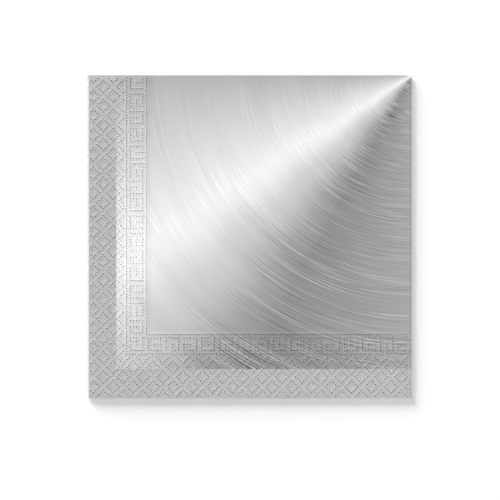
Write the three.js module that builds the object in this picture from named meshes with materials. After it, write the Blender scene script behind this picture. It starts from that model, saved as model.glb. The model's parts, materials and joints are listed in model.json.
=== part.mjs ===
// A square paper napkin of three tissue plies, folded in half twice.
// The printed side is outside. The two folded edges lie at +Y and +X, the cut edges at -Y and -X.
// Millimetres, +Z up, the origin under the middle of the folded napkin at table height.

import * as THREE from 'three';

// The flat sheet
const SHEET_SIDE = 330;
const PLY_THICKNESS = 0.13;
const PLY_GAP = 0.02;

// The stack of four leaves: leaf 1 is on top, leaf 4 lies on the table
const LEAF_COUNT = 4;
const LEAF_PITCH = 0.8;

// Clearances between the flat leaves and the creases that join them
const SEAM_GAP = 0.02;
const CREASE_SEGMENTS = 10;

// From the printed face inwards
const PLIES = ['printed_ply', 'middle_ply', 'back_ply'];
const PLY_STEP = PLY_THICKNESS + PLY_GAP;
const LEAF_THICKNESS = PLIES.length * PLY_THICKNESS + (PLIES.length - 1) * PLY_GAP;
const STACK_HEIGHT = (LEAF_COUNT - 1) * LEAF_PITCH + LEAF_THICKNESS;

// Each crease bends the middle of a leaf round a half circle
const INNER_BEND = LEAF_PITCH / 2;
const OUTER_BEND = (LEAF_COUNT - 1) * LEAF_PITCH / 2;
const INNER_REACH = INNER_BEND + LEAF_THICKNESS / 2;
const OUTER_REACH = OUTER_BEND + LEAF_THICKNESS / 2;

// The flat stretch of a leaf is half the sheet less half of its crease
const flatStretch = (bend) => (SHEET_SIDE - Math.PI * bend) / 2;
const LEAF_DEPTH = flatStretch(INNER_BEND);
const INNER_LEAF_WIDTH = flatStretch(INNER_BEND);
const OUTER_LEAF_WIDTH = flatStretch(OUTER_BEND);

// The fold lines, with the folded napkin centred on the origin
const FOLD_X = (INNER_LEAF_WIDTH - OUTER_REACH) / 2;
const FOLD_Y = (LEAF_DEPTH - INNER_REACH) / 2;

const MATERIALS = {
  printed_ply: { color: 0xc0c0c0, roughness: 0.5, metalness: 0.15 },
  middle_ply: { color: 0xf7f6f2, roughness: 0.95, metalness: 0 },
  back_ply: { color: 0xf4f3ef, roughness: 0.95, metalness: 0 },
};

const napkin = new THREE.Group();

function addMesh(name, ply, geometry) {
  const mesh = new THREE.Mesh(geometry, new THREE.MeshStandardMaterial(MATERIALS[ply]));
  mesh.name = name;
  napkin.add(mesh);
  return mesh;
}

// Middle height of a leaf
function leafHeight(leaf) {
  return LEAF_THICKNESS / 2 + (LEAF_COUNT - leaf) * LEAF_PITCH;
}

// Odd leaves lie with the print up, even leaves with the print down
function addLeaf(leaf) {
  const printUp = leaf % 2 === 1 ? 1 : -1;
  const isOuter = leaf === 1 || leaf === LEAF_COUNT;
  const width = (isOuter ? OUTER_LEAF_WIDTH : INNER_LEAF_WIDTH) - SEAM_GAP;
  const depth = LEAF_DEPTH - SEAM_GAP;
  PLIES.forEach((ply, index) => {
    const mesh = addMesh(`leaf_${leaf}_${ply}`, ply, new THREE.BoxGeometry(width, depth, PLY_THICKNESS));
    mesh.position.set(
      FOLD_X - SEAM_GAP - width / 2,
      FOLD_Y - SEAM_GAP - depth / 2,
      leafHeight(leaf) + printUp * (1 - index) * PLY_STEP,
    );
  });
}

// A strip bent round an arc: its section is drawn with the bulge along local +X, and runs along local +Z
function bentStrip(bend, startAngle, endAngle, length) {
  const outer = bend + PLY_THICKNESS / 2;
  const inner = bend - PLY_THICKNESS / 2;
  const section = new THREE.Shape();
  section.absarc(0, 0, outer, startAngle, endAngle, false);
  section.absarc(0, 0, inner, endAngle, startAngle, true);
  section.closePath();
  return new THREE.ExtrudeGeometry(section, {
    depth: length,
    curveSegments: CREASE_SEGMENTS,
    bevelEnabled: false,
  });
}

// The bend of each ply, with the print on the outside of the crease or on its inside
function plyBend(bend, index, printOutside) {
  return bend + (printOutside ? 1 : -1) * (1 - index) * PLY_STEP;
}

// Fold 1 runs along X at the +Y edge, with the print outside
function addFoldOneCrease(upperLeaf) {
  const width = OUTER_LEAF_WIDTH - SEAM_GAP;
  const turn = new THREE.Matrix4().makeBasis(
    new THREE.Vector3(0, 1, 0),
    new THREE.Vector3(0, 0, 1),
    new THREE.Vector3(1, 0, 0),
  );
  PLIES.forEach((ply, index) => {
    const bend = plyBend(INNER_BEND, index, true);
    const strip = bentStrip(bend, -Math.PI / 2, Math.PI / 2, width);
    const mesh = addMesh(`crease_${upperLeaf}_${upperLeaf + 1}_${ply}`, ply, strip);
    mesh.quaternion.setFromRotationMatrix(turn);
    mesh.position.set(FOLD_X - SEAM_GAP - width, FOLD_Y, leafHeight(upperLeaf) - INNER_BEND);
  });
}

// Fold 2 runs along Y at the +X edge: one arc of each ply, or a part of it
function addFoldTwoStrip(name, bend, printOutside, startAngle, endAngle) {
  const depth = LEAF_DEPTH - SEAM_GAP;
  PLIES.forEach((ply, index) => {
    const strip = bentStrip(plyBend(bend, index, printOutside), startAngle, endAngle, depth);
    const mesh = addMesh(`${name}_${ply}`, ply, strip);
    mesh.rotation.x = Math.PI / 2;
    mesh.position.set(FOLD_X, FOLD_Y - SEAM_GAP, STACK_HEIGHT / 2);
  });
}

for (let leaf = 1; leaf <= LEAF_COUNT; leaf += 1) {
  addLeaf(leaf);
}

addFoldOneCrease(1);
addFoldOneCrease(3);

// Leaves 2 and 3 lie face to face, so the print is on the inside of the crease between them
addFoldTwoStrip('crease_2_3', INNER_BEND, false, -Math.PI / 2, Math.PI / 2);

// The outer crease wraps round them. It is parted at half height, where the loop of four leaves is open
const PARTING_ANGLE = SEAM_GAP / OUTER_BEND;
addFoldTwoStrip('crease_1_4_upper', OUTER_BEND, true, PARTING_ANGLE, Math.PI / 2);
addFoldTwoStrip('crease_1_4_lower', OUTER_BEND, true, -Math.PI / 2, -PARTING_ANGLE);

export default napkin;
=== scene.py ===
"""A paper napkin of three tissue plies, folded in half twice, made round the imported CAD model.

Lengths are in millimetres until a mesh is made. A place on the flat sheet is given by its distances from
the sheet's two centre lines, so all four leaves carry the same mirrored border and print.
"""

import json
import math

import bpy
import numpy as np
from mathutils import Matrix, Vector
from mathutils.geometry import delaunay_2d_cdt
from mathutils.kdtree import KDTree


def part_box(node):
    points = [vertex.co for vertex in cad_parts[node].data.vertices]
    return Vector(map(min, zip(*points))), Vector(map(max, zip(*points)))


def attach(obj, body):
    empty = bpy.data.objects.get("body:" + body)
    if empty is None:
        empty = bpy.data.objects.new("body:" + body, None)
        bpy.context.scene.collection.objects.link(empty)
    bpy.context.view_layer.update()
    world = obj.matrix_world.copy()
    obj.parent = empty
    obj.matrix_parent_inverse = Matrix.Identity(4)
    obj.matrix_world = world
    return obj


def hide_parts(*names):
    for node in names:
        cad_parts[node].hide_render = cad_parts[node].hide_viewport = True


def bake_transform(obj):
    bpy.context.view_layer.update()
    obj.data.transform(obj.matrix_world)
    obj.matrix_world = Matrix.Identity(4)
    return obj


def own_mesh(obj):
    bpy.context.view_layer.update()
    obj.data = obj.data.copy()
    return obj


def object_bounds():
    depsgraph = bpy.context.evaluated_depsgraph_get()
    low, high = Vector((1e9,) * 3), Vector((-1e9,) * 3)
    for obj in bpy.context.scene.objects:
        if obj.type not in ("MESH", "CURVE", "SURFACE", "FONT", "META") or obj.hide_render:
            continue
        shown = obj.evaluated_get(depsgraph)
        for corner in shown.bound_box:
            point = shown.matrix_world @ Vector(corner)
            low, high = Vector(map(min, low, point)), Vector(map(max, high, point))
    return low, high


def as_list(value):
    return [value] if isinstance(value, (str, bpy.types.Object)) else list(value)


MM = 0.001
RANDOM = np.random.default_rng(7)
PLIES = ("printed_ply", "middle_ply", "back_ply")

# The embossed border. A place in it is the complex number u + vi, measured in from the cut edges: u from
# the one at -X and v from the one at -Y
DOT_PITCH = 1.486
OUTER_LINE = complex(19.34, 22.75)
INNER_LINE = complex(29.57, 32.68)
KEY_CORNER = complex(21.27, 24.58)
KEY_SIZE = 6.33
KEY_PITCH = 9.105
DIAMOND_CENTRE = complex(7.43, 11.11)
DIAMOND_PERIOD = 10.12
DIAMOND_REACH = 3.14
RUN_ALONG_V = 0.976  # the pattern's steps along v, as a share of those along u
LINE_CLEARANCE = 0.9  # how far the diamonds' dots stay from the outer line
DOT_CLEARANCE = 1.22  # dots closer than this would run together

# One pressed dot. Each ring has a radius and a depth as a share of the middle's, and a negative depth
# stands up as a rim. The same shares colour the paper too: darker to the middle, as pressed paper and
# painted shade in the dimple, and lighter on the rim, a painted highlight
DOT_SIDES = 8
DOT_RINGS = ((0.60, 0.0), (0.47, -0.62), (0.33, 0.9))
DOT_REACH = DOT_RINGS[0][0]
DOT_DEPTH = 0.10
BUMP_HEIGHT = 0.08  # how far a dot stands out of the napkin's plain side
DOT_DEPTH_SPREAD = 0.25
DOT_DRIFT = 0.05
DOT_MARGIN = 0.1

# The mesh's steps
GRID_STEP = 2.5
ARC_STEPS = 10

# How loosely the leaves and plies lie. Wave lengths are in millimetres to a radian
LEAF_LIFT = {1: 0.26, 2: 0.16, 3: 0.07, 4: 0.0}
LIFT_REACH = 40.0
WAVE_HEIGHT = 0.03
BROAD_WAVES = (17, 23)
SLANTED_WAVES = (9, 13)
WAVE_SHIFT = 2.1
PLY_PUCKER = 0.35
PUCKER_REACH = 2.5
PUCKER_MEAN = 0.55
PUCKER_WAVES = (3.1, 7.7)
PLY_RECESS = {"printed_ply": 0.0, "middle_ply": 0.12, "back_ply": 0.2}
RECESS_REACH = 3.0
EDGE_TRIM = 0.3  # how much is cut off every ply at -Y
SEAM = 0.01  # how far short of a fold a leaf ends, so that opened leaves don't touch

# The creases
CREASE_WOBBLE = 0.06
WOBBLE_WAVES = ((0.3, 11, 0), (0.2, 4.3, 1))  # height as a share, length and start of each
FOLD_SQUARENESS = 0.42  # 1 would be a round section
CORNER_CAP = 0.55  # how far the creases of fold 2 run past fold 1
CAP_SHRINK = 0.3
# Painted shade along each fold line, as a share of a dot's mark; the outer crease gets a painted
# highlight instead, where its side turns away from the light
CREASE_PAINTED_SHADE = {"printed_ply": 0.12, "middle_ply": 0.5, "back_ply": 0.5}
OUTER_PAINTED_HIGHLIGHT = -0.2  # the outer crease is a little lighter, not darker

# How bright a perfectly white surface would show in this scene's light, as a share of display white
LIGHT_LEVEL = 1.17

# The print: the width of its plain margin along u and v, and its display greys from 0 to 255. The brushed
# metal's tone goes by the angle round the sheet's centre, in degrees from the X centre line
MARGIN = (14.14, 15.05)
MARGIN_TONE = 192.5
METAL_TONES = (
    (0, 183), (18, 222), (24, 234), (32, 250), (36, 243), (42, 217), (46, 206), (54, 168),
    (61, 147), (66, 149), (90, 172),
)

# How far the brushing is ragged and drifts, in radians, how strong its scratches are, and their share of
# that strength by the same angle
RAGGED_TURN = 0.18
DRIFTING_TURN = 0.12
BRIGHT_SCRATCH = 0.42
DARK_SCRATCH = 0.20
SCRATCH_SHARES = (
    (0, 0.15), (18, 0.3), (28.8, 0.8), (36, 0.3), (45, 0.12), (52.2, 0.9), (72, 0.85), (90, 0.3),
)

# The brushing's noises: marks to a millimetre across it, marks to a radian along it, and a shift, so that
# no two are the same
CLUSTER_NOISE = (0.12, 1.6, 5.0)
RAGGED_NOISE = (1.6, 3.2, 0.0)
DRIFTING_NOISE = (0.07, 1.0, 3.0)
BRIGHT_NOISE = (2.3, 2.3, 13.0)
DARK_NOISE = (2.3, 2.3, 29.0)
CLUSTER_STOPS = ((0.35, 0.25), (0.65, 1.0))
SCRATCH_RANGE = (0.55, 0.70)

# The tissue: its noises in marks to a millimetre, its shades as shares, and its relief in millimetres
TISSUE_TONE = 246
TISSUE_BLUE = 0.985  # the plain side's blue, as a share of its red and green
FIBRE_MARKS = 1.3
CREPE_MARKS = (0.35, 3.2)
SLOW_MARKS = 0.05
CRUMPLE_MARKS = 1.35
FIBRE_SHADE = 0.05
CREPE_SHADE = 0.03
# How strongly the border's crumples are painted in as light and shade
CRUMPLE_PAINTED_LIGHT = 0.90
PLAIN_BORDER_SHARE = 0.5
# How far the dots' and folds' marks change each side's colour: pressed paper, painted shade in the
# dimples and along the folds, and a painted highlight on the dots' rims and the outer fold
PRINT_PRESS_AND_PAINTED_LIGHT = 0.70
PLAIN_PRESS_AND_PAINTED_LIGHT = 0.16
FIBRE_RELIEF = 0.03
SLOW_RELIEF = 0.25
SHINE = 0.05
PRINT_ROUGHNESS = 0.48
GRAIN_ROUGHNESS = 0.2
PLAIN_ROUGHNESS = 0.95

# The view
LENS = 150.0
SENSOR = 36.0
FRAME_WIDTH = 0.2549
VIEW_DROP = 0.0067

# The floor, in metres, and the light. Levels are shares of the light on a white floor, angles are in
# degrees, and a stretch of sky is given by its height and its brightness
FLOOR_SIZE = 6.0
FLOOR_DROP = 0.00002
FLOOR_WHITE = 0.93
SIDE_LEVEL = 0.46
SIDE_TURN = 35
SIDE_HEIGHT = 21
SIDE_SPREAD = 36
TOP_LEVEL = 0.38
TOP_TOWARDS = (-0.05, 0.08, 1)
TOP_SPREAD = 20
HORIZON = (0.10, 2.0)
UPPER_SKY = (0.30, 0.20)

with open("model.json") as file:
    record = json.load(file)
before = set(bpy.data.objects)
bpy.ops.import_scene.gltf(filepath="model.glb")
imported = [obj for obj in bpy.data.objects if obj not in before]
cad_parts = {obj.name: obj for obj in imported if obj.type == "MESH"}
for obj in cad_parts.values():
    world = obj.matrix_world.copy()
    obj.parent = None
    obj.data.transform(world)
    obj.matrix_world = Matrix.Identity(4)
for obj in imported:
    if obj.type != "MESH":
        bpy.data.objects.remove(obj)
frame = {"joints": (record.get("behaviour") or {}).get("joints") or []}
cad_low, cad_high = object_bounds()

# ---------------------------------------------------------------- the frame's own measures

joints = {joint["name"]: joint for joint in frame["joints"]}
FOLD_X = joints["fold_2"]["pos_m"][0] / MM
FOLD_Y = joints["fold_1"]["pos_m"][1] / MM
STACK_MIDDLE = joints["fold_2"]["pos_m"][2] / MM


def node_middle(node, axis):
    low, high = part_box(node)
    return (low[axis] + high[axis]) / 2 / MM


LEAVES = (1, 2, 3, 4)
LEAF_HEIGHT = {leaf: node_middle(f"leaf_{leaf}_middle_ply", 2) for leaf in LEAVES}
LEAF_WIDTH = {leaf: FOLD_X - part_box(f"leaf_{leaf}_middle_ply")[0].x / MM for leaf in LEAVES}
LEAF_LENGTH = FOLD_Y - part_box("leaf_1_middle_ply")[0].y / MM
INNER_BEND = (LEAF_HEIGHT[2] - LEAF_HEIGHT[3]) / 2
OUTER_BEND = (LEAF_HEIGHT[1] - LEAF_HEIGHT[4]) / 2
HALF_SHEET = LEAF_LENGTH + INNER_BEND * math.pi / 2
PLY_STEP = node_middle("leaf_1_printed_ply", 2) - LEAF_HEIGHT[1]
PLY_THICKNESS = (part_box("leaf_1_middle_ply")[1].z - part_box("leaf_1_middle_ply")[0].z) / MM
PLY_OFFSET = dict(zip(PLIES, (PLY_STEP, 0.0, -PLY_STEP)))


# ---------------------------------------------------------------- the embossed pattern


def line_dots():
    """Two dotted lines, one inside the other, each turning its corner."""
    dots = []
    for corner in (OUTER_LINE, INNER_LINE):
        runs = np.arange(0, HALF_SHEET, DOT_PITCH)
        dots += [corner + run for run in runs]
        dots += [corner + run * RUN_ALONG_V * 1j for run in runs[1:]]
    return dots


def key(turns):
    """A square key that opens towards +u, with its upper arm hooked inwards, turned by quarter turns."""
    side = KEY_SIZE
    back = [complex(0, side * k / 5) for k in range(6)]
    arms = [complex(side * k / 4, height) for height in (0, side) for k in range(1, 5)]
    hook = [complex(side, side * 3 / 4)] + [complex(side * k / 4, side / 2) for k in (4, 3, 2)]
    middle = complex(side / 2, side / 2)
    return [(dot - middle) * 1j**turns for dot in back + arms + hook]


def key_dots():
    """Keys between the two lines, each turned a quarter from the one before it."""
    dots = []
    first = KEY_CORNER + complex(KEY_SIZE / 2, KEY_SIZE / 2)
    for count in range(math.ceil(HALF_SHEET / KEY_PITCH)):
        dots += [first + count * KEY_PITCH + dot for dot in key((1 - count) % 4)]
        if count:
            place = first + count * KEY_PITCH * RUN_ALONG_V * 1j
            dots += [place + complex(dot.real, dot.imag * RUN_ALONG_V) for dot in key((1 + count) % 4)]
    return dots


def diamond_dots():
    """Diamonds on a centred lattice, from outside the cut edges to the outer line."""
    corners = [DIAMOND_REACH * 1j**turn for turn in range(4)]
    diamond = []
    for start, end in zip(corners, corners[1:] + corners[:1]):
        diamond += [start + (end - start) * k / 3 for k in range(3)]
    dots = []
    places = range(-4, math.ceil(2 * HALF_SHEET / DIAMOND_PERIOD))
    for column in places:
        for row in places:
            if (column + row) % 2 == 0:
                centre = DIAMOND_CENTRE + complex(column, row * RUN_ALONG_V) * DIAMOND_PERIOD / 2
                dots += [centre + dot for dot in diamond]
    edge = OUTER_LINE - complex(LINE_CLEARANCE, LINE_CLEARANCE)
    return [dot for dot in dots if dot.real < edge.real or dot.imag < edge.imag]


def border_dots():
    """Every dot of the border by its distances from the two centre lines, with none running together."""
    kept = []
    for dot in line_dots() + key_dots() + diamond_dots():
        if min(dot.real, dot.imag) > 0 and max(dot.real, dot.imag) < HALF_SHEET:
            if not kept or np.abs(np.array(kept) - dot).min() > DOT_CLEARANCE:
                kept.append(dot)
    kept = np.array(kept)
    drift = RANDOM.uniform(-DOT_DRIFT, DOT_DRIFT, (len(kept), 2))
    return HALF_SHEET - np.stack([kept.real, kept.imag], axis=1) + drift


# ---------------------------------------------------------------- flat faces and ply solids


def steps(length):
    return np.linspace(0, length, max(2, round(length / GRID_STEP) + 1))


def rim(p_stops, q_stops):
    """The points round a rectangle, in order."""
    p_low, p_high, q_low, q_high = p_stops[0], p_stops[-1], q_stops[0], q_stops[-1]
    return (
        [(p, q_low) for p in p_stops[:-1]]
        + [(p_high, q) for q in q_stops[:-1]]
        + [(p, q_high) for p in p_stops[:0:-1]]
        + [(p_low, q) for q in q_stops[:0:-1]]
    )


def inside_grid(p_stops, q_stops, dots):
    """Grid points inside the rectangle and clear of the dots."""
    tree = KDTree(len(dots) + 1)
    for index, (p, q) in enumerate(dots):
        tree.insert((p, q, 0), index)
    far_away = (-1e6, -1e6, 0)
    tree.insert(far_away, len(dots))
    tree.balance()
    grid = [(p, q) for p in p_stops[1:-1] for q in q_stops[1:-1]]
    return [point for point in grid if tree.find((*point, 0))[2] > DOT_REACH + DOT_MARGIN]


def flat_face(p_stops, q_stops, dots=()):
    """Triangles over a rectangle, with rings and a middle for each dot. The rim's points come first.

    depth is each point's depth as a share of a dot's. Each dot is pressed a little more or less."""
    low = np.array([p_stops[0], q_stops[0]]) + DOT_REACH + DOT_MARGIN
    high = np.array([p_stops[-1], q_stops[-1]]) - DOT_REACH - DOT_MARGIN
    dots = [dot for dot in dots if (dot > low).all() and (dot < high).all()]
    points = rim(p_stops, q_stops)
    rim_count = len(points)
    points += inside_grid(p_stops, q_stops, dots)
    depth = [0.0] * len(points)
    spread = 1 + DOT_DEPTH_SPREAD * RANDOM.uniform(-1, 1, len(dots))
    for (p, q), press in zip(dots, spread):
        for radius, share in DOT_RINGS:
            for side in range(DOT_SIDES):
                turn = 2 * math.pi * side / DOT_SIDES
                points.append((p + radius * math.cos(turn), q + radius * math.sin(turn)))
                depth.append(share * press)
        points.append((p, q))
        depth.append(press)
    edges = [(k, (k + 1) % rim_count) for k in range(rim_count)]
    inside_only, tolerance = 1, 1e-7
    found = delaunay_2d_cdt([Vector(point) for point in points], edges, [], inside_only, tolerance)
    triangles, sources = found[2:4]
    given = np.array([source[0] for source in sources])
    return {
        "points": np.array(points),
        "triangles": given[np.array(triangles)],
        "depth": np.array(depth),
        "rim": rim_count,
    }


def store(mesh, name, kind, field, values):
    attribute = mesh.attributes.new(name, kind, "POINT")
    attribute.data.foreach_set(field, values.astype(np.float32).ravel())


def shade(mesh, triangles, flat):
    """Smooth shading, but for the flat triangles and every edge of one."""
    mesh.polygons.foreach_set("use_smooth", ~flat)
    count = len(mesh.vertices)
    corners = triangles[flat]
    pairs = np.concatenate([corners[:, (0, 1)], corners[:, (1, 2)], corners[:, (2, 0)]])
    pairs.sort(axis=1)
    edges = np.empty(len(mesh.edges) * 2, np.int32)
    mesh.edges.foreach_get("vertices", edges)
    edges = np.sort(edges.reshape(-1, 2).astype(np.int64), axis=1)
    sharp = np.isin(edges[:, 0] * count + edges[:, 1], pairs[:, 0] * count + pairs[:, 1])
    mesh.attributes.new("sharp_edge", "BOOLEAN", "EDGE").data.foreach_set("value", sharp)


def rim_walls(count, below):
    """Triangles between a front face's rim and its back face's, whose points come that much later."""
    loop = np.arange(count)
    after = (loop + 1) % count
    first = np.stack([loop, loop + below, after], axis=1)
    second = np.stack([after, loop + below, after + below], axis=1)
    return np.concatenate([first, second])


def facing_out(points, triangles):
    """A closed solid's triangles, turned over if they hold a negative volume."""
    a, b, c = (points[triangles[:, k]] for k in range(3))
    inside_out = np.einsum("ij,ij->i", a, np.cross(b, c)).sum() < 0
    return triangles[:, ::-1] if inside_out else triangles


def ply_solid(name, place, sheet, faces, ply, painted_fold_light=None):
    """A thin closed solid between its print-side face and its back face, which share their rim.

    place gives the point at (p, q) and a height towards the print, sheet the place on the flat sheet, and
    the last argument the painted shade that a fold adds there, a painted highlight where negative, as a
    share of a dot's mark."""
    points, sheet_places, depths, marks = [], [], [], []
    for face, side, press in zip(faces, (0.5, -0.5), (DOT_DEPTH, BUMP_HEIGHT)):
        p, q = face["points"].T
        height = PLY_OFFSET[ply] + side * PLY_THICKNESS - press * face["depth"]
        points.append(place(p, q, height))
        sheet_places.append(sheet(p, q))
        depths.append(face["depth"])
        # A fold adds its painted shade to the dots' marks; a negative share paints a highlight
        marks.append(face["depth"] + (painted_fold_light(p, q) if painted_fold_light else 0))
    front, back = (face["triangles"] for face in faces)
    below = len(points[0])
    walls = rim_walls(faces[0]["rim"], below)
    points = np.concatenate(points) * MM
    triangles = facing_out(points, np.concatenate([front, back[:, ::-1] + below, walls]))
    mesh = bpy.data.meshes.new(name)
    mesh.from_pydata(points.tolist(), [], triangles.tolist())

    # The dots' faces and the cut edges are shaded flat
    depth = np.concatenate(depths)
    flat = (depth[triangles] > 0).any(axis=1)
    flat[-len(walls):] = True
    shade(mesh, triangles, flat)

    # The print is on one face of the printed ply only
    plain = np.zeros(len(triangles), np.int32)
    if ply == "printed_ply":
        mesh.materials.append(PRINTED_TISSUE)
        plain[len(front):] = 1
    mesh.materials.append(PLAIN_TISSUE)
    mesh.polygons.foreach_set("material_index", plain)

    # The marks that colour the paper: the dots' depths as pressed paper and painted shade, their rims as
    # a painted highlight, and the folds' painted shade, with a painted highlight on the outer fold
    store(mesh, "pressed", "FLOAT", "value", np.concatenate(marks))
    sheet_points = np.pad(np.concatenate(sheet_places), ((0, 0), (0, 1)))
    store(mesh, "sheet", "FLOAT_VECTOR", "vector", sheet_points)
    mesh.update()
    piece = bpy.data.objects.new(name, mesh)
    bpy.context.scene.collection.objects.link(piece)
    return piece


def ply_faces(p_stops, q_stops, dots, ply):
    """The print-side and back faces of a ply. Only the sheet's two outer sides carry the dots."""
    plain = flat_face(p_stops, q_stops)
    if ply == "middle_ply" or not len(dots):
        return plain, plain
    dotted = flat_face(p_stops, q_stops, dots)
    return (dotted, plain) if ply == "printed_ply" else (plain, dotted)


# ---------------------------------------------------------------- materials


class Nodes:
    """Short calls for building one material's node tree."""

    def __init__(self, name):
        self.material = bpy.data.materials.new(name)
        self.material.use_nodes = True
        self.tree = self.material.node_tree
        self.shader = self.tree.nodes["Principled BSDF"]

    def link(self, source, target):
        self.tree.links.new(source, target)

    def feed(self, socket, value):
        if isinstance(value, bpy.types.NodeSocket):
            self.link(value, socket)
        else:
            socket.default_value = value

    def attribute(self, name, output):
        node = self.tree.nodes.new("ShaderNodeAttribute")
        node.attribute_name = name
        return node.outputs[output]

    def math(self, operation, *values):
        node = self.tree.nodes.new("ShaderNodeMath")
        node.operation = operation
        for socket, value in zip(node.inputs, values):
            self.feed(socket, value)
        return node.outputs[0]

    def split(self, vector):
        node = self.tree.nodes.new("ShaderNodeSeparateXYZ")
        self.link(vector, node.inputs[0])
        return node.outputs

    def join(self, x, y, z=0.0):
        node = self.tree.nodes.new("ShaderNodeCombineXYZ")
        for socket, value in zip(node.inputs, (x, y, z)):
            self.feed(socket, value)
        return node.outputs[0]

    def spread(self, value, width):
        """A noise value as a spread around 0."""
        return self.math("MULTIPLY", self.math("SUBTRACT", value, 0.5), width)

    def noise(self, vector, scale, detail=2.0, roughness=0.5):
        node = self.tree.nodes.new("ShaderNodeTexNoise")
        self.link(vector, node.inputs["Vector"])
        node.inputs["Scale"].default_value = scale
        node.inputs["Detail"].default_value = detail
        node.inputs["Roughness"].default_value = roughness
        return node.outputs["Fac"]

    def ramp(self, value, stops):
        """stops are (place, grey) pairs, with the grey as linear light."""
        node = self.tree.nodes.new("ShaderNodeValToRGB")
        elements = node.color_ramp.elements
        while len(elements) < len(stops):
            elements.new(0.5)
        for element, (place, grey) in zip(elements, stops):
            element.position = place
            element.color = (grey, grey, grey, 1)
        self.link(value, node.inputs[0])
        return node.outputs["Color"]

    def bump(self, height, strength, distance, under=None):
        node = self.tree.nodes.new("ShaderNodeBump")
        node.inputs["Strength"].default_value = strength
        node.inputs["Distance"].default_value = distance
        self.link(height, node.inputs["Height"])
        if under is not None:
            self.link(under, node.inputs["Normal"])
        return node.outputs[0]


def linear(grey):
    """The linear light of a display grey from 0 to 255."""
    share = grey / 255
    return share / 12.92 if share <= 0.04045 else ((share + 0.055) / 1.055) ** 2.4


def surface(grey):
    """How light a surface is that shows as a display grey under this scene's light."""
    return linear(grey) / LIGHT_LEVEL


def tissue_relief(nodes, where):
    """The soft fibre relief of creped tissue, over slow waves. Gives the normal and a grain around 1."""
    x, y, _ = nodes.split(where)
    fibres = nodes.noise(where, FIBRE_MARKS, detail=3.0, roughness=0.6)
    ribs = [nodes.math("MULTIPLY", side, marks) for side, marks in zip((x, y), CREPE_MARKS)]
    crepe = nodes.noise(nodes.join(*ribs), 1.0)
    waves = nodes.bump(nodes.noise(where, SLOW_MARKS), strength=1.0, distance=SLOW_RELIEF * MM)
    grain = nodes.math("ADD", nodes.spread(fibres, FIBRE_SHADE), nodes.spread(crepe, CREPE_SHADE))
    texture = nodes.math("ADD", fibres, crepe)
    relief = nodes.bump(texture, strength=0.5, distance=FIBRE_RELIEF * MM, under=waves)
    return relief, nodes.math("ADD", grain, 1.0)


def inside_border(nodes, where, width_u, width_v):
    """1 where the sheet is farther in from the cut edges than two widths, and 0 nearer to them."""
    s, t, _ = nodes.split(where)
    inside_u = nodes.math("LESS_THAN", s, HALF_SHEET - width_u)
    inside_v = nodes.math("LESS_THAN", t, HALF_SHEET - width_v)
    return nodes.math("MULTIPLY", inside_u, inside_v)


def painted_crumple_light(nodes, where, shade):
    """Painted light and shade of crumpled paper between the dots of the border, as a spread around 0."""
    border = nodes.math("SUBTRACT", 1.0, inside_border(nodes, where, INNER_LINE.real, INNER_LINE.imag))
    crumple = nodes.noise(where, CRUMPLE_MARKS, detail=1.0)
    return nodes.math("MULTIPLY", border, nodes.spread(crumple, shade))


def press_and_painted_light(nodes, share):
    """How much of its light the paper keeps where it is pressed: below 1 as pressed paper and painted
    shade, above 1 as a painted highlight on the dots' rims and the outer fold.
    """
    return nodes.math("SUBTRACT", 1.0, nodes.math("MULTIPLY", nodes.attribute("pressed", "Fac"), share))


def by_angle(nodes, angle, values):
    """A grey that follows an angle in radians, from (degrees, grey) pairs over a quarter turn."""
    stops = [(degrees / 90, grey) for degrees, grey in values]
    return nodes.ramp(nodes.math("DIVIDE", angle, math.pi / 2), stops)


def brushed_metal(nodes, where):
    """Grey metal brushed round the sheet's centre, its tone by a ragged angle, with thin arcs over it."""
    s, t, _ = nodes.split(where)
    angle = nodes.math("ARCTAN2", t, s)
    squares = [nodes.math("MULTIPLY", side, side) for side in (s, t)]
    radius = nodes.math("SQRT", nodes.math("ADD", *squares))

    def arcs(across, along, shift, detail=1.0):
        """Noise drawn out along the brushing."""
        stretched = nodes.math("MULTIPLY", angle, along)
        place = nodes.join(stretched, nodes.math("MULTIPLY", radius, across), shift)
        return nodes.noise(place, 1.0, detail)

    clusters = nodes.ramp(arcs(*CLUSTER_NOISE), CLUSTER_STOPS)
    ragged = nodes.math("MULTIPLY", nodes.spread(arcs(*RAGGED_NOISE, detail=2.0), RAGGED_TURN), clusters)
    drifting = nodes.spread(arcs(*DRIFTING_NOISE), DRIFTING_TURN)
    turned = nodes.math("ADD", angle, nodes.math("ADD", ragged, drifting))
    metal = by_angle(nodes, turned, [(degrees, surface(grey)) for degrees, grey in METAL_TONES])

    # Single scratches, clustered, and strongest in the darker half
    low, high = SCRATCH_RANGE
    bright = nodes.ramp(arcs(*BRIGHT_NOISE), ((low, 0.0), (high, BRIGHT_SCRATCH)))
    dark = nodes.ramp(arcs(*DARK_NOISE), ((low, 0.0), (high, DARK_SCRATCH)))
    shown = nodes.math("MULTIPLY", clusters, by_angle(nodes, angle, SCRATCH_SHARES))
    scratches = nodes.math("MULTIPLY", nodes.math("SUBTRACT", bright, dark), shown)
    return nodes.math("ADD", metal, scratches)


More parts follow.
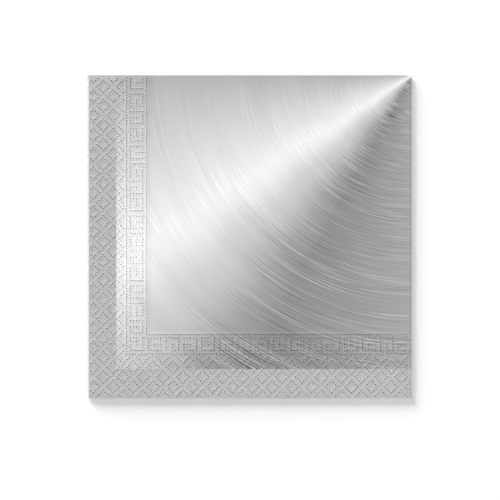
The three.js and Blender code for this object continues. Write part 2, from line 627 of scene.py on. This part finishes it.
def printed_tissue():
    nodes = Nodes("metal_print_tissue")
    where = nodes.attribute("sheet", "Vector")
    inside = inside_border(nodes, where, *MARGIN)
    outside = nodes.math("SUBTRACT", 1.0, inside)
    tone = nodes.math(
        "ADD",
        nodes.math("MULTIPLY", brushed_metal(nodes, where), inside),
        nodes.math("MULTIPLY", outside, surface(MARGIN_TONE)),
    )
    relief, grain = tissue_relief(nodes, where)
    # The border's crumples are painted in as light and shade
    grain = nodes.math("ADD", grain, painted_crumple_light(nodes, where, CRUMPLE_PAINTED_LIGHT))
    tone = nodes.math("MULTIPLY", tone, grain)
    # The dots and folds darken the print as pressed paper and painted shade, and lighten it on rims and
    # the outer fold as a painted highlight
    tone = nodes.math("MULTIPLY", tone, press_and_painted_light(nodes, PRINT_PRESS_AND_PAINTED_LIGHT))
    rough = nodes.math("ADD", nodes.math("MULTIPLY", grain, GRAIN_ROUGHNESS), PRINT_ROUGHNESS)
    nodes.link(nodes.join(tone, tone, tone), nodes.shader.inputs["Base Color"])
    nodes.link(rough, nodes.shader.inputs["Roughness"])
    nodes.link(relief, nodes.shader.inputs["Normal"])
    nodes.shader.inputs["Specular IOR Level"].default_value = SHINE
    return nodes.material


def plain_tissue():
    nodes = Nodes("plain_tissue")
    where = nodes.attribute("sheet", "Vector")
    relief, grain = tissue_relief(nodes, where)
    # The border's crumples are painted in as light and shade, at half strength
    grain = nodes.math("ADD", grain, painted_crumple_light(nodes, where, CRUMPLE_PAINTED_LIGHT * PLAIN_BORDER_SHARE))
    white = nodes.math("MULTIPLY", grain, surface(TISSUE_TONE))
    # The same marks on the plain side: pressed paper, painted shade and painted highlight
    tone = nodes.math("MULTIPLY", white, press_and_painted_light(nodes, PLAIN_PRESS_AND_PAINTED_LIGHT))
    blue = nodes.math("MULTIPLY", tone, TISSUE_BLUE)
    nodes.link(nodes.join(tone, tone, blue), nodes.shader.inputs["Base Color"])
    nodes.link(relief, nodes.shader.inputs["Normal"])
    nodes.shader.inputs["Roughness"].default_value = PLAIN_ROUGHNESS
    nodes.shader.inputs["Specular IOR Level"].default_value = SHINE
    return nodes.material


PRINTED_TISSUE = printed_tissue()
PLAIN_TISSUE = plain_tissue()


# ---------------------------------------------------------------- the leaves

DOTS = border_dots()
INNER_ARC = INNER_BEND * math.pi / 2
OUTER_ARC = OUTER_BEND * math.pi / 2


def leaf_arc(leaf):
    """Half the crease along fold 2, which the leaf's flat part leaves off."""
    return OUTER_ARC if leaf in (1, 4) else INNER_ARC


def lift(leaf, p, q):
    """How far a leaf stands up from its level: nothing at the folds, most at the free corner.

    Leaf 4 lies flat on the table, and each of the others has waves of its own."""
    rise = (p * p / (p * p + LIFT_REACH**2)) * (q * q / (q * q + LIFT_REACH**2))
    broad = np.sin(p / BROAD_WAVES[0] + leaf) * np.sin(q / BROAD_WAVES[1] + WAVE_SHIFT * leaf)
    slanted = np.sin(p / SLANTED_WAVES[0] - q / SLANTED_WAVES[1] + leaf)
    return rise * (LEAF_LIFT[leaf] + WAVE_HEIGHT * (broad + slanted) * (leaf < 4))


def pucker(leaf, p, q):
    """How far the plies part at the cut edges, as a share of their offsets."""
    shares = []
    for along, across, end in ((q, p, LEAF_WIDTH[leaf]), (p, q, LEAF_LENGTH)):
        near = np.exp((across - end) / PUCKER_REACH)
        ripple = np.sin(along / PUCKER_WAVES[0] + leaf) * np.sin(along / PUCKER_WAVES[1] + 2 * leaf)
        shares.append(near * (PUCKER_MEAN + (1 - PUCKER_MEAN) * ripple))
    return PLY_PUCKER * np.maximum(*shares)


def recess(distance, end, ply, trim=0.0):
    """A distance from a fold, cut short near the cut edge: by trim, and by more on the inner plies."""
    share = np.clip((distance - end + RECESS_REACH) / RECESS_REACH, 0, 1)
    return distance - (PLY_RECESS[ply] + trim) * share


def leaf_ply(leaf, ply):
    up = 1 if leaf % 2 else -1
    arc = leaf_arc(leaf)
    width = LEAF_WIDTH[leaf]

    def place(p, q, height):
        z = LEAF_HEIGHT[leaf] + lift(leaf, p, q) + up * height * (1 + pucker(leaf, p, q))
        x = FOLD_X - np.maximum(recess(p, width, ply), SEAM)
        y = FOLD_Y - np.maximum(recess(q, LEAF_LENGTH, ply, EDGE_TRIM), SEAM)
        return np.stack([x, y, np.maximum(z, 0)], axis=1)

    def sheet(p, q):
        return np.stack([p + arc, q + INNER_ARC], axis=1)

    dots = DOTS - [arc, INNER_ARC]
    faces = ply_faces(steps(width), steps(LEAF_LENGTH), dots, ply)
    piece = ply_solid(f"napkin_leaf_{leaf}_{ply}", place, sheet, faces, ply)
    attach(piece, f"leaf_{leaf}")
    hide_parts(f"leaf_{leaf}_{ply}")
    return piece


# ---------------------------------------------------------------- the creases


def bend_round(turn):
    """A pressed fold's section at an angle: squarer than a circle, reaching as far."""
    across, up = np.cos(turn), np.sin(turn)
    return np.abs(across) ** FOLD_SQUARENESS, np.sign(up) * np.abs(up) ** FOLD_SQUARENESS


def wobble(along):
    """A slow variation in how far a fold bulges."""
    waves = sum(height * np.sin(along / length + start) for height, length, start in WOBBLE_WAVES)
    return 1 + CREASE_WOBBLE * (0.5 + waves)


def fold_one_ply(upper_leaf, ply):
    """Fold 1: a half turn along X between two leaves, with the print outside."""
    hinge = (LEAF_HEIGHT[upper_leaf] + LEAF_HEIGHT[upper_leaf + 1]) / 2
    top_width, low_width = LEAF_WIDTH[upper_leaf], LEAF_WIDTH[upper_leaf + 1]
    full = max(top_width, low_width)

    def place(p, q, height):
        turn = q / INNER_BEND
        width = low_width + (top_width - low_width) * (0.5 + turn / math.pi)
        across, up = bend_round(turn)
        y = FOLD_Y + (INNER_BEND + height) * across * wobble(p)
        return np.stack([FOLD_X - p * width / full, y, hinge + (INNER_BEND + height) * up], axis=1)

    def sheet(p, q):
        return np.stack([p + INNER_ARC, np.abs(q)], axis=1)

    # Painted shade along fold 1, strongest on its middle line
    def painted_fold_light(p, q):
        return CREASE_PAINTED_SHADE[ply] * (1 - np.abs(q) / INNER_ARC)

    stops = np.linspace(-INNER_ARC, INNER_ARC, 2 * ARC_STEPS + 1)
    faces = ply_faces(steps(full), stops, (), ply)
    name = f"crease_{upper_leaf}_{upper_leaf + 1}"
    piece = ply_solid(f"napkin_{name}_{ply}", place, sheet, faces, ply, painted_fold_light)
    reach = INNER_BEND + PLY_OFFSET[ply] - PLY_THICKNESS / 2
    ends = [Vector((0, FOLD_Y, hinge + side * reach)) * MM for side in (1, -1)]
    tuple(ends[0])
    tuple(ends[1])
    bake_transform(piece)
    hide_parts(f"{name}_{ply}")
    return piece


def fold_two_ply(name, bend, print_side, angles, ply, fold_light_share, dots=()):
    """Fold 2: an arc along Y. print_side is 1 with the print outside the bend and -1 with it inside."""
    start_angle, end_angle = angles

    def place(p, q, height):
        turn = p / bend
        cap = np.clip(-q / CORNER_CAP, 0, 1) ** 2
        radius = (bend + print_side * height) * (1 - CAP_SHRINK * cap)
        across, up = bend_round(turn)
        x = FOLD_X + radius * across * wobble(q)
        y = FOLD_Y - recess(q, LEAF_LENGTH, ply, EDGE_TRIM)
        return np.stack([x, y, STACK_MIDDLE + radius * up], axis=1)

    def sheet(p, q):
        return np.stack([np.abs(p), q + INNER_ARC], axis=1)

    # Painted shade along fold 2, strongest on its middle line; the outer crease's negative share paints a
    # highlight
    def painted_fold_light(p, q):
        return fold_light_share * (1 - np.abs(p) / (bend * math.pi / 2))

    arc_steps = round(2 * ARC_STEPS * (end_angle - start_angle) / math.pi)
    p_stops = np.linspace(start_angle, end_angle, arc_steps + 1) * bend
    q_stops = np.concatenate([[-CORNER_CAP, -CORNER_CAP / 2], steps(LEAF_LENGTH)])
    faces = ply_faces(p_stops, q_stops, dots, ply)
    piece = ply_solid(f"napkin_{name}_{ply}", place, sheet, faces, ply, painted_fold_light)
    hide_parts(f"{name}_{ply}")
    return piece


def inner_fold_two_ply(ply):
    angles = (-math.pi / 2, math.pi / 2)
    piece = fold_two_ply("crease_2_3", INNER_BEND, -1, angles, ply, CREASE_PAINTED_SHADE[ply])
    reach = INNER_BEND - PLY_OFFSET[ply] - PLY_THICKNESS / 2
    ends = [Vector((FOLD_X, 0, STACK_MIDDLE + side * reach)) * MM for side in (-1, 1)]
    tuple(ends[0])
    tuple(ends[1])
    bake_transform(piece)
    return piece


def outer_fold_two_ply(half, ply):
    """The outer crease is parted at half height. Only the upper half shows its dots."""
    if half == "upper":
        leaf, angles, inwards, dots = 1, (0, math.pi / 2), -1, DOTS - [0, INNER_ARC]
    else:
        leaf, angles, inwards, dots = 4, (-math.pi / 2, 0), 1, ()
    piece = fold_two_ply(f"crease_1_4_{half}", OUTER_BEND, 1, angles, ply, OUTER_PAINTED_HIGHLIGHT, dots)
    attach(piece, f"leaf_{leaf}")
    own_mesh(piece)
    return piece


# ---------------------------------------------------------------- the napkin

for ply in PLIES:
    leaf_pieces = {leaf: leaf_ply(leaf, ply) for leaf in LEAVES}
    creases = {
        1: [outer_fold_two_ply("upper", ply)],
        2: [fold_one_ply(1, ply)],
        3: [inner_fold_two_ply(ply), fold_one_ply(3, ply)],
        4: [outer_fold_two_ply("lower", ply)],
    }
    for leaf, piece in leaf_pieces.items():
        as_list(creases[leaf])


# ---------------------------------------------------------------- floor, light and camera


def make_floor():
    mesh = bpy.data.meshes.new("floor")
    half = FLOOR_SIZE / 2
    corners = [(-half, -half), (half, -half), (half, half), (-half, half)]
    mesh.from_pydata([(x, y, -FLOOR_DROP) for x, y in corners], [], [(0, 1, 2, 3)])
    floor = bpy.data.objects.new("floor", mesh)
    bpy.context.scene.collection.objects.link(floor)
    white = bpy.data.materials.new("floor_white")
    white.use_nodes = True
    shader = white.node_tree.nodes["Principled BSDF"]
    shader.inputs["Base Color"].default_value = (FLOOR_WHITE, FLOOR_WHITE, FLOOR_WHITE, 1)
    shader.inputs["Roughness"].default_value = 1.0
    shader.inputs["Specular IOR Level"].default_value = 0.0
    mesh.materials.append(white)


def add_sun(name, towards, angle, level):
    """A soft sun that gives a white floor that share of its light."""
    sun = bpy.data.lights.new(name, "SUN")
    towards = Vector(towards).normalized()
    sun.energy = level * math.pi / towards.z
    sun.angle = math.radians(angle)
    lamp = bpy.data.objects.new(name, sun)
    lamp.rotation_euler = towards.to_track_quat("Z", "Y").to_euler()
    bpy.context.scene.collection.objects.link(lamp)


def make_light():
    turn, rise = math.radians(SIDE_TURN), math.radians(SIDE_HEIGHT)
    towards = (-math.sin(turn) * math.cos(rise), math.cos(turn) * math.cos(rise), math.sin(rise))
    add_sun("side_light", towards, SIDE_SPREAD, SIDE_LEVEL)
    add_sun("top_light", TOP_TOWARDS, TOP_SPREAD, TOP_LEVEL)
    make_sky()


def make_sky():
    """A grey sky that brightens down to the horizon."""
    world = bpy.data.worlds.new("studio")
    world.use_nodes = True
    tree = world.node_tree
    where = tree.nodes.new("ShaderNodeTexCoord")
    parts = tree.nodes.new("ShaderNodeSeparateXYZ")
    ramp = tree.nodes.new("ShaderNodeValToRGB")
    for element, (height, level) in zip(ramp.color_ramp.elements, (HORIZON, UPPER_SKY)):
        element.position = height
        element.color = (level, level, level, 1)
    tree.links.new(where.outputs["Generated"], parts.inputs[0])
    tree.links.new(parts.outputs["Z"], ramp.inputs[0])
    tree.links.new(ramp.outputs["Color"], tree.nodes["Background"].inputs["Color"])
    bpy.context.scene.world = world
    bpy.context.scene.view_settings.view_transform = "Standard"


def make_camera():
    data = bpy.data.cameras.new("camera")
    data.lens = LENS
    data.sensor_width = SENSOR
    camera = bpy.data.objects.new("camera", data)
    distance = LENS / SENSOR * FRAME_WIDTH
    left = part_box("leaf_1_printed_ply")[0].x
    middle = (left + cad_high.x) / 2
    camera.location = (middle, -VIEW_DROP, cad_high.z + distance)
    bpy.context.scene.collection.objects.link(camera)
    bpy.context.scene.camera = camera


make_floor()
make_light()
make_camera()
